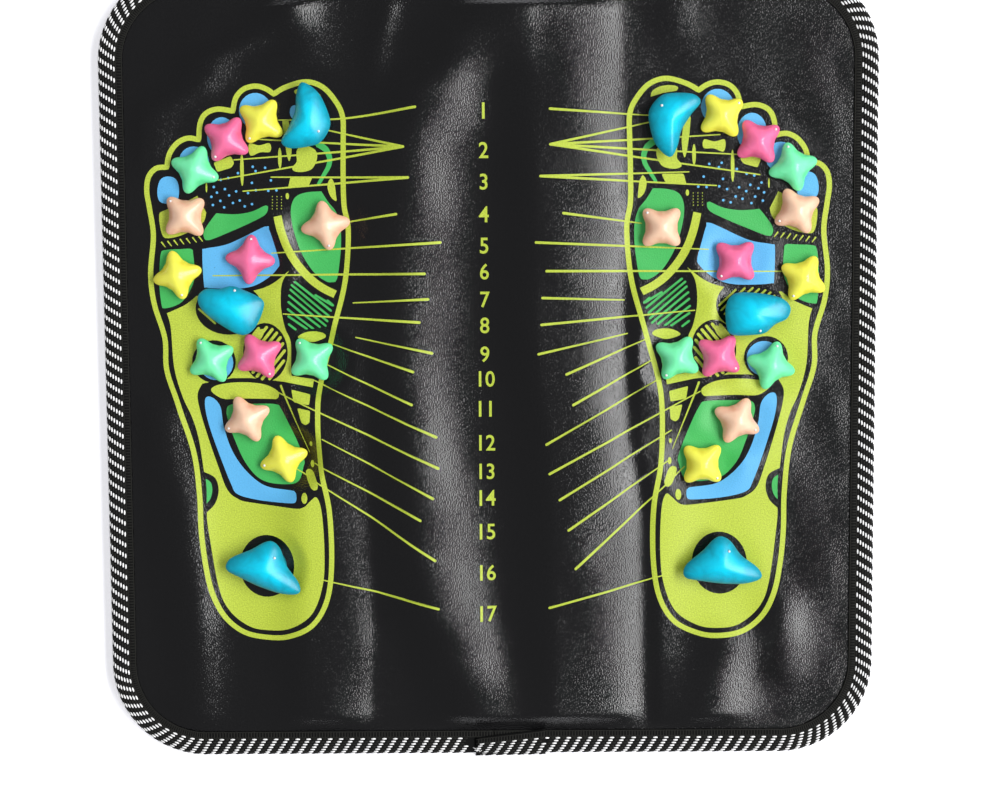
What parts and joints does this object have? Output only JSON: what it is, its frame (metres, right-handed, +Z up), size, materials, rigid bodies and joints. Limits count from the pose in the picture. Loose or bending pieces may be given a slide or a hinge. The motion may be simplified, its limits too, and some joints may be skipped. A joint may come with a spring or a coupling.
{
  "type": "acupressure foot mat",
  "caption": "Padded floor mat with a woven edge binding, printed foot charts and raised moulded stones under both feet; folds in three along two lines.",
  "frame": {"origin": "middle of the flat underside that lies on the floor", "axes": "+Z up from the floor, +Y from the heels to the toes, +X to the right of a person who stands on the mat"},
  "size_m": [0.36, 0.37, 0.0189],
  "materials": {
    "cover_leatherette": "fine grained black PU leatherette, soft gloss, printed in lime, green and light blue",
    "foam": "closed-cell foam",
    "backing": "black non-woven backing",
    "binding_tape": "woven black tape with slanting rows of white threads",
    "yellow_stone": "glossy, slightly milky",
    "magenta_stone": "glossy, slightly milky",
    "green_stone": "glossy, slightly milky",
    "peach_stone": "glossy, slightly milky",
    "cyan_stone": "glossy, slightly milky"
  },
  "bodies": {
    "middle_panel": {"top_cover_middle": "cover_leatherette", "foam_core_middle": "foam", "base_sheet_middle": "backing", "edge_binding_toe_end": "binding_tape", "edge_binding_heel_end": "binding_tape", "binding_lap_end": "binding_tape"},
    "left_panel": {"top_cover_left": "cover_leatherette", "foam_core_left": "foam", "base_sheet_left": "backing", "edge_binding_left": "binding_tape", "left_second_toe_star": "yellow_stone", "left_third_toe_star": "magenta_stone", "left_fourth_toe_star": "green_stone", "left_little_toe_star": "peach_stone", "left_ball_star": "peach_stone", "left_chest_star": "magenta_stone", "left_outer_edge_star": "yellow_stone", "left_waist_outer_star": "green_stone", "left_waist_middle_star": "magenta_stone", "left_waist_inner_star": "green_stone", "left_arch_star": "peach_stone", "left_lower_arch_star": "yellow_stone", "left_big_toe_crescent": "cyan_stone", "left_arch_pebble": "cyan_stone", "left_heel_peak": "cyan_stone"},
    "right_panel": {"top_cover_right": "cover_leatherette", "foam_core_right": "foam", "base_sheet_right": "backing", "edge_binding_right": "binding_tape", "right_second_toe_star": "yellow_stone", "right_third_toe_star": "magenta_stone", "right_fourth_toe_star": "green_stone", "right_little_toe_star": "peach_stone", "right_ball_star": "peach_stone", "right_chest_star": "magenta_stone", "right_outer_edge_star": "yellow_stone", "right_waist_outer_star": "green_stone", "right_waist_middle_star": "magenta_stone", "right_waist_inner_star": "green_stone", "right_arch_star": "peach_stone", "right_lower_arch_star": "yellow_stone", "right_big_toe_crescent": "cyan_stone", "right_arch_pebble": "cyan_stone", "right_heel_peak": "cyan_stone"}
  },
  "joints": [
    {"name": "left_fold", "type": "hinge", "parent": "middle_panel", "child": "left_panel", "pos_m": [-0.06, 0, 0.0071], "axis": [0, 1, 0], "range_deg": [0, 100]},
    {"name": "right_fold", "type": "hinge", "parent": "middle_panel", "child": "right_panel", "pos_m": [0.06, 0, 0.0071], "axis": [0, -1, 0], "range_deg": [0, 100]}
  ]
}
